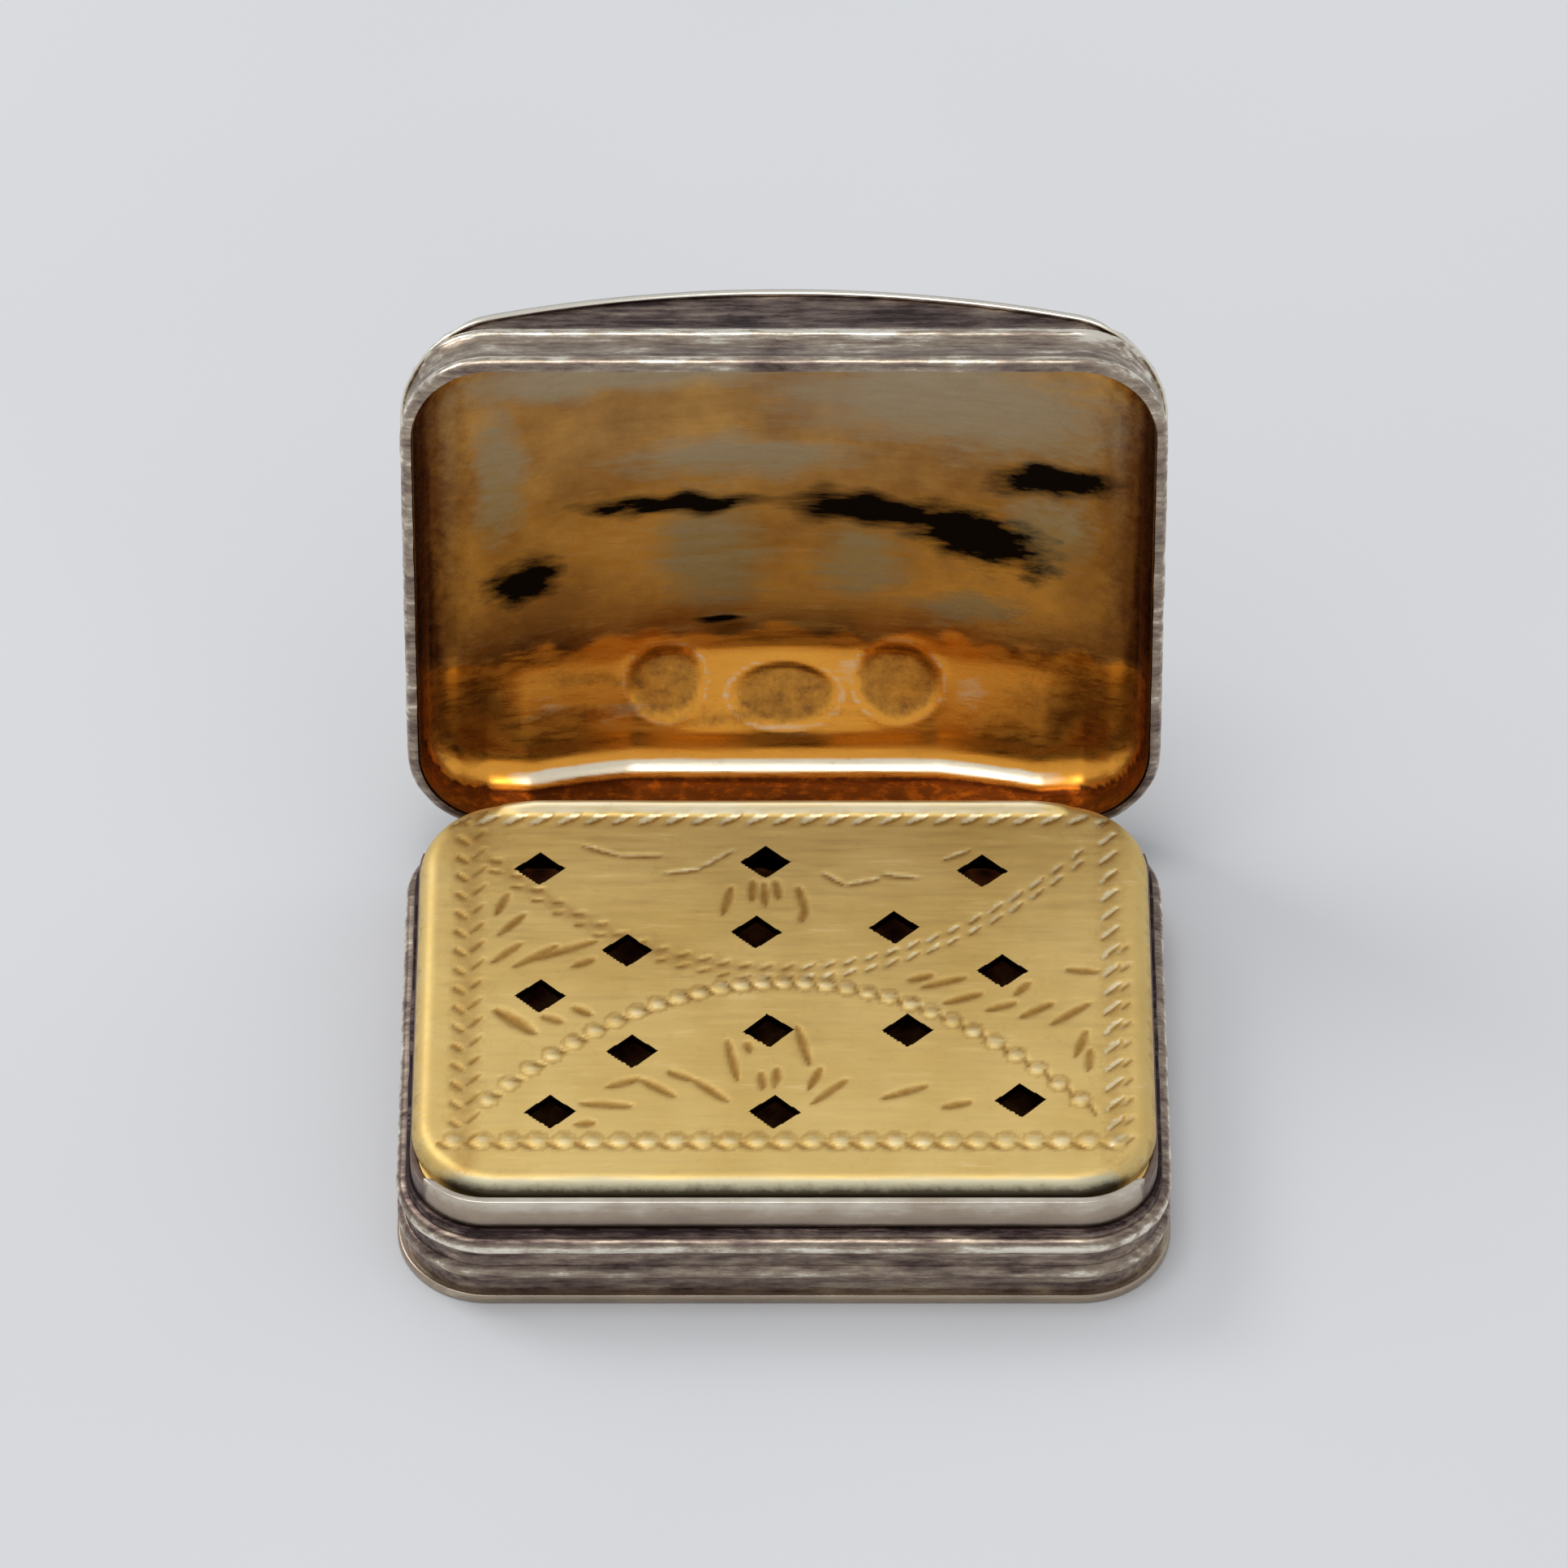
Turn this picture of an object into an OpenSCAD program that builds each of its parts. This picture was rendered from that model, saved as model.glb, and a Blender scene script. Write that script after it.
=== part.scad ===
// Small silver vinaigrette: a reeded box with an arched lid, a pierced grille and a scent sponge

/* [Box] */
// Width over the reeds
box_w = 25; // [22:0.5:32]
// Depth over the reeds
box_d = 18.3; // [16:0.1:22]
// Corner radius in plan
corner_r = 3; // [2.6:0.1:4]
// Height of the base up to its shoulder
base_h = 3.2; // [3:0.1:4.5]
// Thickness of the bottom plate
floor_t = 0.35; // [0.3:0.05:0.5]
// Thickness of the side bands at their grooves
wall_t = 0.3; // [0.25:0.05:0.35]
// Height of the base's lower reed over the table
reed_low_h = 1.35; // [1.2:0.05:1.4]
// How far the upper reed lies below the shoulder
reed_drop = 0.35; // [0.2:0.05:0.4]
// Radius of a reed
reed_r = 0.3; // [0.2:0.05:0.3]

/* [Bezel] */
// Width of the shoulder that the lid closes on
shoulder_w = 0.5; // [0.5:0.05:0.7]
// Thickness of the bezel
bezel_t = 0.25; // [0.2:0.05:0.3]
// Height of the bezel over the shoulder at the front
bezel_h = 1.2; // [1:0.1:1.2]
// Height of the bezel over the shoulder near the hinge
bezel_low_h = 0.8; // [0.7:0.1:1]
// How far the bezel's tall front reaches back from the front face
bezel_front = 1.55; // [1.4:0.05:1.6]

/* [Lid] */
// Height of the lid at its short ends
lid_end_h = 1.9; // [1.7:0.1:2.5]
// Height of the lid at the crown of its arch
lid_mid_h = 4.7; // [4.2:0.1:5.5]
// Height of the lid's upper reed over its rim
lid_reed_h = 2; // [1.7:0.1:2.2]
// Thickness of the arched plate
lid_t = 0.3; // [0.25:0.05:0.4]
// Opening angle at which the lid leans on its stop
lid_open = 103; // [95:1:110]

/* [Hinge] */
// Radius of the hinge tubes
tube_r = 0.6; // [0.5:0.05:0.6]
// Radius of the hinge pin
pin_r = 0.3; // [0.25:0.05:0.35]
// How far the row of tubes ends inside the box's sides
hinge_in = 1.9; // [1.6:0.1:3]
// How far the pin lies inside the back reeds
pin_in = 0.2; // [0.15:0.05:0.25]
// How far the pin lies below the shoulder
pin_drop = 0.8; // [0.7:0.05:1]

/* [Grille] */
// Thickness of the grille plate
grille_t = 0.3; // [0.25:0.05:0.4]
// Height of the grille over the shoulder
grille_h = 1.55; // [1.4:0.05:1.6]
// Depth of its turned-down edge
grille_edge_h = 0.7; // [0.65:0.05:0.75]
// Radius of the rolled edge
roll_r = 0.6; // [0.5:0.05:0.6]
// Width of one lozenge piercing
lozenge_w = 1.64; // [1.2:0.02:1.9]
// Depth of one lozenge piercing
lozenge_d = 1.42; // [1:0.02:1.6]

/* [Clearances] */
// Gap between pieces that pass one another
gap = 0.1; // [0.08:0.01:0.12]
// Running clearance of the tubes on the pin
run = 0.03; // [0.02:0.01:0.05]

/* [Hidden] */
$fn = 64;
silver = [0.66, 0.65, 0.63];
gilt = [0.78, 0.68, 0.38];
buff = [0.72, 0.62, 0.42];
// The hinge line
pin_y = box_d / 2 - pin_in;
pin_z = base_h - pin_drop;
hinge_len = box_w - 2 * hinge_in;
tube_gap = gap;
tube_len = (hinge_len - 6 * tube_gap) / 7;
// Which piece each of the seven tubes belongs to, from the left
OWNERS = ["base", "lid", "grille", "base", "grille", "lid", "base"];
plug_t = 0.3;
// The leaf that joins a lid or grille tube to its piece
leaf_t = 0.3;
leaf_y = box_d / 2 - 0.35;
// The lid's arch
arch_s = lid_mid_h - lid_end_h;
arch_r = (box_w * box_w / 4 + arch_s * arch_s) / (2 * arch_s);
arch_z = base_h + lid_mid_h - arch_r;
rim_z = base_h + gap / 2;
lid_wall_t = shoulder_w - gap;
// The bezel's outer size and the ledge inside it
bezel_w = box_w - 2 * shoulder_w;
bezel_d = box_d - 2 * shoulder_w;
bezel_r = corner_r - shoulder_w;
bezel_foot = 0.8;
back_cut_y = box_d / 2 - 2.25;
ledge_in = 0.5;
ledge_t = 0.35;
// The grille's outer size
grille_side = shoulder_w + bezel_t + gap;
grille_w = bezel_w - gap;
grille_front = -box_d / 2 + grille_side;
grille_back = box_d / 2 - lid_wall_t - gap;
grille_d = grille_back - grille_front;
grille_y = (grille_back + grille_front) / 2;
grille_r = corner_r - gap;
grille_top = base_h + grille_h;
grille_foot = grille_top - grille_edge_h;
// Places of the hand-cut piercings on the plate
PIERCINGS = [[-8, 5.5], [-0.6, 5.8], [6.5, 5.4], [-5.1, 1.9], [-0.9, 2.7], [3.6, 2.9], [-7.9, -0.1], [7.1, 1],
    [-4.9, -2.5], [-0.5, -1.6], [4, -1.6], [-7.5, -5.1], [-0.3, -5.1], [7.6, -4.6]];

// A rounded rectangle in plan
module rounded_plan(w, d, r) {
    square([w - 2 * r, d], center = true);
    square([w, d - 2 * r], center = true);
    for (x = [-1, 1], y = [-1, 1])
        translate([x * (w / 2 - r), y * (d / 2 - r)])
            circle(r);
}

// The outer half of a reed
module half_round(r) {
    intersection() {
        circle(r);
        translate([0, -r])
            square([r, 2 * r]);
    }
}

// Runs a profile round a rounded rectangle: its x is outward from the outer face, its y is up
module run_round(w, d, r) {
    for (k = [0:3]) {
        half_out = k % 2 == 0 ? w / 2 : d / 2;
        half_along = k % 2 == 0 ? d / 2 : w / 2;
        rotate(90 * k) {
            translate([half_out, half_along - r, 0])
                rotate([90, 0, 0])
                    linear_extrude(2 * (half_along - r))
                        children();
            translate([half_out - r, half_along - r, 0])
                rotate_extrude(angle = 90)
                    translate([r, 0])
                        children();
        }
    }
}

// A bar along the hinge line between two x positions
module hinge_bar(radius, x0, x1) {
    translate([x0, pin_y, pin_z])
        rotate([0, 90, 0])
            cylinder(r = radius, h = x1 - x0);
}

function tube_x(i) = -hinge_len / 2 + i * (tube_len + tube_gap);

// Room for the row of tubes: a notch down the back wall, with seats for the base's own tubes at its foot
module tube_room() {
    for (i = [0:6]) {
        own = OWNERS[i] == "base";
        spare = own ? tube_gap / 2 : tube_gap;
        hinge_bar(own ? tube_r : tube_r + tube_gap, tube_x(i) - spare, tube_x(i) + tube_len + spare);
    }
    hinge_bar(tube_r + tube_gap, tube_x(0) - plug_t - tube_gap, tube_x(0));
    hinge_bar(tube_r + tube_gap, tube_x(6) + tube_len, tube_x(6) + tube_len + plug_t + tube_gap);
    translate([tube_x(0) - plug_t - tube_gap, leaf_y - 1, pin_z])
        cube([hinge_len + 2 * (plug_t + tube_gap), 2 + leaf_t, base_h]);
}

// One tube of the hinge, with a leaf up to a height where it has one
module tube(i, bore, leaf_top = 0) {
    difference() {
        union() {
            hinge_bar(tube_r, tube_x(i), tube_x(i) + tube_len);
            if (leaf_top > 0)
                translate([tube_x(i), leaf_y, pin_z])
                    cube([tube_len, leaf_t, leaf_top - pin_z]);
            children();
        }
        hinge_bar(bore, tube_x(i) - 1, tube_x(i) + tube_len + 1);
    }
}

// Turns a piece of the lid from its closed place to the open rest
module opened() {
    translate([0, pin_y, pin_z])
        rotate([-lid_open, 0, 0])
            translate([0, -pin_y, -pin_z])
                children();
}

module base_plate() {
    color(silver)
        linear_extrude(floor_t)
            rounded_plan(box_w, box_d, corner_r);
}

module base_band() {
    color(silver)
        difference() {
            run_round(box_w, box_d, corner_r) {
                translate([-shoulder_w, floor_t])
                    square([wall_t, base_h - floor_t]);
                translate([-shoulder_w, base_h - 2 * reed_r])
                    square([shoulder_w - reed_r, 2 * reed_r]);
                for (z = [reed_low_h, base_h - reed_drop - reed_r])
                    translate([-reed_r, z])
                        half_round(reed_r);
            }
            tube_room();
        }
}

module bezel() {
    color(gilt)
        difference() {
            run_round(bezel_w, bezel_d, bezel_r)
                translate([-bezel_t, base_h - bezel_foot])
                    square([bezel_t, bezel_foot + bezel_h]);
            translate([-box_w, bezel_front - box_d / 2, base_h + bezel_low_h])
                cube([2 * box_w, box_d, bezel_h]);
            translate([-box_w, back_cut_y, 0])
                cube([2 * box_w, box_d, 2 * base_h]);
        }
}

module grille_ledge() {
    color(gilt)
        difference() {
            run_round(bezel_w - 2 * bezel_t, bezel_d - 2 * bezel_t, bezel_r - bezel_t)
                translate([-ledge_in, grille_foot - gap / 2 - ledge_t])
                    square([ledge_in, ledge_t]);
            translate([-box_w, back_cut_y, 0])
                cube([2 * box_w, box_d, 2 * base_h]);
        }
}

module sponge() {
    sponge_w = bezel_w - 2 * bezel_t - 1;
    sponge_d = bezel_d - 2 * bezel_t - 1;
    color(buff)
        translate([0, 0, floor_t])
            linear_extrude(base_h - floor_t - 2 * gap)
                rounded_plan(sponge_w, sponge_d, corner_r - 1);
}

module base_tube_left() {
    color(silver)
        tube(0, pin_r);
}

module base_tube_middle() {
    color(silver)
        tube(3, pin_r);
}

module base_tube_right() {
    color(silver)
        tube(6, pin_r);
}

module hinge_pin() {
    color(silver)
        hinge_bar(pin_r, -hinge_len / 2, hinge_len / 2);
}

module hinge_plug_left() {
    color(silver)
        hinge_bar(tube_r, -hinge_len / 2 - plug_t, -hinge_len / 2);
}

module hinge_plug_right() {
    color(silver)
        hinge_bar(tube_r, hinge_len / 2, hinge_len / 2 + plug_t);
}

module lid_band() {
    color(silver)
        opened()
            intersection() {
                run_round(box_w, box_d, corner_r) {
                    translate([-lid_wall_t, rim_z])
                        square([wall_t, lid_mid_h]);
                    translate([-lid_wall_t, rim_z])
                        square([lid_wall_t - reed_r, 2 * reed_r]);
                    for (z = [reed_r, lid_reed_h])
                        translate([-reed_r, rim_z + z])
                            half_round(reed_r);
                }
                translate([0, box_d, arch_z])
                    rotate([90, 0, 0])
                        cylinder(r = arch_r - lid_t, h = 2 * box_d, $fn = 256);
            }
}

module lid_plate() {
    color(silver)
        opened()
            intersection() {
                translate([0, 0, base_h])
                    linear_extrude(2 * lid_mid_h)
                        rounded_plan(box_w, box_d, corner_r);
                translate([0, box_d, arch_z])
                    rotate([90, 0, 0])
                        difference() {
                            cylinder(r = arch_r, h = 2 * box_d, $fn = 256);
                            translate([0, 0, -1])
                                cylinder(r = arch_r - lid_t, h = 2 * box_d + 2, $fn = 256);
                        }
            }
}

module lid_tube_left() {
    color(silver)
        opened()
            tube(1, pin_r + run, rim_z);
}

module lid_tube_right() {
    color(silver)
        opened()
            tube(5, pin_r + run, rim_z);
}

module grille() {
    color(gilt)
        translate([0, grille_y, 0]) {
            difference() {
                translate([0, 0, grille_top - grille_t])
                    linear_extrude(grille_t)
                        rounded_plan(grille_w - 2 * roll_r, grille_d - 2 * roll_r, grille_r - roll_r);
                for (p = PIERCINGS)
                    translate([p[0], p[1] - grille_y, 0])
                        linear_extrude(2 * grille_top)
                            polygon([[-lozenge_w / 2, 0], [0, -lozenge_d / 2], [lozenge_w / 2, 0], [0, lozenge_d / 2]]);
            }
            run_round(grille_w, grille_d, grille_r) {
                translate([-roll_r, grille_top - roll_r])
                    difference() {
                        intersection() {
                            circle(roll_r);
                            square(roll_r);
                        }
                        circle(roll_r - grille_t);
                    }
                translate([-grille_t, grille_foot])
                    square([grille_t, grille_edge_h - roll_r]);
            }
        }
}

// A grille tube with a leaf that passes under the lid's rim and up to the grille's back edge
module grille_tube(i) {
    leaf_z = pin_z + tube_r - leaf_t;
    color(gilt)
        tube(i, pin_r + run)
            translate([tube_x(i), grille_back - grille_t, leaf_z]) {
                cube([tube_len, pin_y - grille_back + grille_t, leaf_t]);
                cube([tube_len, grille_t, grille_foot - leaf_z]);
            }
}

module grille_tube_left() {
    grille_tube(2);
}

module grille_tube_right() {
    grille_tube(4);
}

base_plate();
base_band();
bezel();
grille_ledge();
sponge();
base_tube_left();
base_tube_middle();
base_tube_right();
hinge_pin();
hinge_plug_left();
hinge_plug_right();
lid_band();
lid_plate();
lid_tube_left();
lid_tube_right();
grille();
grille_tube_left();
grille_tube_right();
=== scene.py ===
# %% [markdown]
# # A small silver vinaigrette
# A vinaigrette is a scent box: a gilt, pierced grille holds down a sponge of aromatic vinegar under a
# tight lid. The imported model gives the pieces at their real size. Here each piece that shows gets its
# hand-made surface and its finish, in the same frame and in metres, so nothing has to be fitted afterwards.

# %% Load the frame
import math

import bmesh
import bpy
import numpy as np
from mathutils import Matrix, Vector, noise


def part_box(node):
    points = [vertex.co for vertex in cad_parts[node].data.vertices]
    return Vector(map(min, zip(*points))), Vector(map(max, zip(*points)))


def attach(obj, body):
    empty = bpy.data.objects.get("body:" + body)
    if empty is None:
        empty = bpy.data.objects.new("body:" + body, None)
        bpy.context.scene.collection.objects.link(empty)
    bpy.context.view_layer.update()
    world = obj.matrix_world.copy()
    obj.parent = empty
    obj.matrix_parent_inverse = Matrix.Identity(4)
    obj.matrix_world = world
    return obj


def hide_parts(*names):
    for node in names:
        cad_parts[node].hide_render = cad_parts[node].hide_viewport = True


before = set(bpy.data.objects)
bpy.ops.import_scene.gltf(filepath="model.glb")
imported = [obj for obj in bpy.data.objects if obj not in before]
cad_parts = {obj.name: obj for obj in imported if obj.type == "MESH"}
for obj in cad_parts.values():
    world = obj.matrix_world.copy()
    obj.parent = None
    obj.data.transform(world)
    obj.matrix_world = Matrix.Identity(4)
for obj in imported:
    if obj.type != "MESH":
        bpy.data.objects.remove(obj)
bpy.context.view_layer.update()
MM = 0.001
print("pieces in the frame:", len(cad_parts))

# %% [markdown]
# ## The camera
# The photograph was taken with a long lens from about 47 degrees up. A long lens flattens perspective, so
# the two sides of the box stay almost parallel. The camera looks at a point above the grille, because the
# open lid takes up half of the picture.

# %% Camera
ELEVATION = math.radians(46.9)
DISTANCE = 333 * MM
LENS_MM = 233.3
SENSOR_MM = 36.0
TARGET_UP = 10.04 * MM

forward = Vector((0, math.cos(ELEVATION), -math.sin(ELEVATION)))
up = Vector((0, math.sin(ELEVATION), math.cos(ELEVATION)))
camera_data = bpy.data.cameras.new("camera")
camera_data.lens = LENS_MM
camera_data.sensor_width = SENSOR_MM
camera_data.clip_start = 0.01
camera_data.clip_end = 10
camera = bpy.data.objects.new("camera", camera_data)
camera.location = up * TARGET_UP - forward * DISTANCE
camera.rotation_euler = (math.pi / 2 - ELEVATION, 0, 0)
bpy.context.scene.collection.objects.link(camera)
bpy.context.scene.camera = camera
print("camera stands", round(DISTANCE / MM), "mm away")

# %% [markdown]
# ## Floor and light
# Polished metal is only as good as what it mirrors. The photograph was lit like a light tent: even, pale
# light from all round, and a pale table that the lid and the sides mirror. So the world is a soft pale
# dome, and two large lamps give the highlights along the rolled edges some direction.

# %% Helpers for numbers, colours and nodes
def clamp(value, low=0.0, high=1.0):
    """The value, kept between two limits."""
    return min(max(value, low), high)


def linear(hex_colour):
    """An sRGB hex colour as the linear RGBA that shaders use."""
    values = [int(hex_colour[i:i + 2], 16) / 255 for i in (1, 3, 5)]
    return [v / 12.92 if v <= 0.04045 else ((v + 0.055) / 1.055) ** 2.4 for v in values] + [1.0]


def add(tree, kind, settings=None, links=None):
    """Adds one node, sets its inputs, colour stops or properties, and links inputs from (node, output)."""
    node = tree.nodes.new("ShaderNode" + kind)
    for key, value in (settings or {}).items():
        if key == "stops":
            elements = node.color_ramp.elements
            for position, colour in value[2:]:
                elements.new(position)
            for element, (position, colour) in zip(elements, sorted(value)):
                element.position = position
                element.color = linear(colour)
        elif isinstance(key, int) or key in node.inputs:
            node.inputs[key].default_value = value
        else:
            setattr(node, key, value)
    for key, (source, output) in (links or {}).items():
        tree.links.new(source.outputs[output], node.inputs[key])
    return node


def new_material(name):
    """An empty node material with a Principled shader, and Object coordinates to start from."""
    material = bpy.data.materials.new(name)
    material.use_nodes = True
    tree = material.node_tree
    tree.nodes.clear()
    shader = add(tree, "BsdfPrincipled")
    add(tree, "OutputMaterial", links={"Surface": (shader, "BSDF")})
    return material, tree, shader, add(tree, "TexCoord")


def clouding(tree, coords, size, detail, roughness=0.5, stretch=1.0):
    """The value of a noise with patches of a size, which a small stretch draws out along x."""
    drawn = add(tree, "Mapping", {"Scale": (stretch, 1.0, 1.0)}, {"Vector": (coords, "Object")})
    patches = add(tree, "TexNoise", {"Scale": 1 / size, "Detail": detail, "Roughness": roughness},
                  {"Vector": (drawn, "Vector")})
    return patches, "Fac"


def weigh(tree, share, source, rest):
    """A share of one node's output plus the rest, which is a number or another output."""
    number = {} if isinstance(rest, tuple) else {2: rest}
    output = {2: rest} if isinstance(rest, tuple) else {}
    total = add(tree, "Math", {"operation": "MULTIPLY_ADD", 1: share, **number}, {0: source, **output})
    return total, "Value"


# %% Helpers for pieces
def to_mesh(bm, name):
    """Ends the work on a bmesh and gives it back as a named mesh."""
    mesh = bpy.data.meshes.new(name)
    bm.to_mesh(mesh)
    bm.free()
    return mesh


def set_marks(mesh, name, values):
    """Stores one number a point for the finish to read."""
    mesh.attributes.new(name, "FLOAT", "POINT").data.foreach_set("value", values)


def place(mesh, name, finish, body, slot, *nodes):
    """Makes a piece of a finished mesh, puts it on its body and hides the CAD nodes it stands for."""
    piece = bpy.data.objects.new(name, mesh)
    mesh.materials.append(finish)
    mesh.shade_smooth()
    bpy.context.scene.collection.objects.link(piece)
    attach(piece, body)
    if nodes:
        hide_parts(*nodes)
    print(name, "has", len(mesh.polygons), "faces")
    return piece


# %% Light tent
world = bpy.data.worlds.new("light_tent")
bpy.context.scene.world = world
world.use_nodes = True
sky = world.node_tree.nodes["Background"]
sky.inputs["Color"].default_value = linear("#eef0f3")
sky.inputs["Strength"].default_value = 0.68
LAMPS = {
    "softbox_above": {"at": (-0.1, 0.04, 0.75), "size": 0.3, "power": 1.1},
    "softbox_left": {"at": (-0.5, 0.35, 0.6), "size": 0.3, "power": 1.3},
}
for lamp_name, lamp in LAMPS.items():
    lamp_data = bpy.data.lights.new(lamp_name, "AREA")
    lamp_data.energy = lamp["power"]
    lamp_data.size = lamp["size"]
    lamp_object = bpy.data.objects.new(lamp_name, lamp_data)
    lamp_object.location = lamp["at"]
    lamp_object.rotation_euler = Vector(lamp["at"]).to_track_quat("Z", "Y").to_euler()
    bpy.context.scene.collection.objects.link(lamp_object)
print("lamps:", ", ".join(LAMPS))

# %% Table top
# Matt laminate: hardly any gloss, so only a soft shadow and slight clouds show
TABLE_HALF = 1.5
table_finish, tree, shader, coords = new_material("laminate, matt and pale")
clouds = clouding(tree, coords, 50 * MM, 3.0)
tone = add(tree, "ValToRGB", {"stops": [(0.3, "#dfe0e3"), (0.7, "#e5e6e8")]}, {"Fac": clouds})
tree.links.new(tone.outputs["Color"], shader.inputs["Base Color"])
shader.inputs["Roughness"].default_value = 0.6
bm = bmesh.new()
bmesh.ops.create_grid(bm, x_segments=2, y_segments=2, size=TABLE_HALF)
table_mesh = to_mesh(bm, "table_top")
table_mesh.materials.append(table_finish)
table_top = bpy.data.objects.new("table_top", table_mesh)
bpy.context.scene.collection.objects.link(table_top)
bpy.context.scene.view_settings.view_transform = "Standard"
print("table top is", table_finish.name)

# %% [markdown]
# ## The silver
# The outside is sterling silver, drawn through a reeded die and soldered. Long handling polishes the
# crests bright, while sulphur in the air turns the grooves brown, violet and at last black. The pieces
# store how proud each point stands as an attribute, "crest", so the polish follows the reeds from every
# side. Two noises drawn out along the long sides break it into the lines and dashes of a worn edge, and a
# broad noise clouds it. Each noise averages a half, so that much is taken off again: the grain changes how
# streaky the silver is, but not how bright.

# %% Tarnished silver
CREST_SHARE = 0.55
LINE_SHARE = 1.1
DASH_SHARE = 1.6
CLOUD_SHARE = 0.5
TARNISH = [(0.0, "#382c2c"), (0.2, "#5f4f4a"), (0.45, "#86756b"), (0.75, "#b3a390"), (1.0, "#f6efdf")]


def tarnished_silver(name, polish, grain):
    """Silver that is bright on its crests; polish lifts it out of the tarnish, grain makes it streaky."""
    material, tree, shader, coords = new_material(name)
    clouds = clouding(tree, coords, 4.0 * MM, 4.0, 0.6)
    lines = clouding(tree, coords, 0.22 * MM, 4.0, 0.6, stretch=0.1)
    dashes = clouding(tree, coords, 0.9 * MM, 5.0, 0.75, stretch=0.35)
    crest = add(tree, "Attribute", {"attribute_name": "crest"})
    noise_mean = (LINE_SHARE * grain + DASH_SHARE * grain + CLOUD_SHARE) / 2
    clean = weigh(tree, CREST_SHARE, (crest, "Fac"), polish - noise_mean)
    clean = weigh(tree, LINE_SHARE * grain, lines, clean)
    clean = weigh(tree, DASH_SHARE * grain, dashes, clean)
    clean = weigh(tree, CLOUD_SHARE, clouds, clean)
    tone = add(tree, "ValToRGB", {"stops": TARNISH}, {"Fac": clean})
    gloss = add(tree, "MapRange", {"To Min": 0.45, "To Max": 0.2}, {"Value": clean})
    relief = add(tree, "Bump", {"Strength": 0.3 * grain, "Distance": 0.02 * MM}, {"Height": lines})
    tree.links.new(tone.outputs["Color"], shader.inputs["Base Color"])
    tree.links.new(gloss.outputs["Result"], shader.inputs["Roughness"])
    tree.links.new(relief.outputs["Normal"], shader.inputs["Normal"])
    shader.inputs["Metallic"].default_value = 1.0
    return material


band_silver = tarnished_silver("sterling silver, drawn and tarnished", polish=0.4, grain=1.0)
plate_silver = tarnished_silver("sterling silver, rolled and handled", polish=0.54, grain=0.15)
print("finishes:", band_silver.name, "and", plate_silver.name)

# %% [markdown]
# ## The gilding
# The inside was fire gilt, so that the vinegar would not eat the silver. The gold layer is thin: it wears
# through to grey silver where fingers and a cloth reach, stays orange in the cuts and by the hinge, goes
# brown in the corners and black where vinegar dried. The pieces carry these marks as point attributes, and
# some of them also carry painted light: unrubbed gold also holds the painted flash of lit facets and pearls
# and the painted orange reflection by the hinge; bare silver also holds a painted highlight on the grille's
# front roll; rubbed brightness also holds painted highlights; the gouges' unlit facets are painted darker as
# shade; brown tarnish also holds painted shade; and dried vinegar also holds the painted shade inside the
# lozenges. Each is broken up by a noise, so no edge of a patch is clean. A mark begins to show at the first
# of its two levels and covers all at the second.

# %% Fire gilding
MARKS = {
    "fresh": ("wipes", 0.55, 0.95),
    "worn": ("wipes", 0.75, 1.25),
    "burnished": ("wipes", 0.7, 1.2),
    "cut": ("specks", 0.5, 1.4),
    "shade": ("specks", 0.6, 1.3),
    "stain": ("wipes", 0.8, 1.25),
}
BREAK_UP = 0.9


def fire_gilding(name, colours, gloss, matt):
    """Gold over silver with marks; gloss is its range of roughness, matt what unrubbed gold with its painted
    sheen adds to it.
    """
    material, tree, shader, coords = new_material(name)
    clouds = clouding(tree, coords, 4.5 * MM, 5.0, 0.6)
    wipes = clouding(tree, coords, 0.3 * MM, 4.0, 0.65, stretch=0.12)
    specks = clouding(tree, coords, 0.5 * MM, 6.0, 0.75)
    layer = add(tree, "ValToRGB", {"stops": [(0.35, colours["deep"]), (0.6, colours["gold"])]},
                {"Fac": clouds})
    surface = (layer, "Color")
    for mark, (breaker, low, high) in MARKS.items():
        amount = add(tree, "Attribute", {"attribute_name": mark})
        ragged = weigh(tree, BREAK_UP, wipes if breaker == "wipes" else specks, (amount, "Fac"))
        share = add(tree, "MapRange", {"From Min": low, "From Max": high}, {"Value": ragged})
        mixed = add(tree, "Mix", {"data_type": "RGBA", 7: linear(colours[mark])},
                    {0: (share, "Result"), 6: surface})
        surface = (mixed, 2)
    wiping = {"From Min": 0.3, "From Max": 0.75, "To Min": gloss[0], "To Max": gloss[1]}
    rubbed = add(tree, "MapRange", wiping, {"Value": wipes})
    unrubbed_and_sheen = add(tree, "Attribute", {"attribute_name": "fresh"})
    rough = weigh(tree, matt, (unrubbed_and_sheen, "Fac"), (rubbed, "Result"))
    relief = add(tree, "Bump", {"Strength": 0.25, "Distance": 0.015 * MM}, {"Height": wipes})
    tree.links.new(surface[0].outputs[surface[1]], shader.inputs["Base Color"])
    tree.links.new(rough[0].outputs[rough[1]], shader.inputs["Roughness"])
    tree.links.new(relief.outputs["Normal"], shader.inputs["Normal"])
    shader.inputs["Metallic"].default_value = 1.0
    return material


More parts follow.
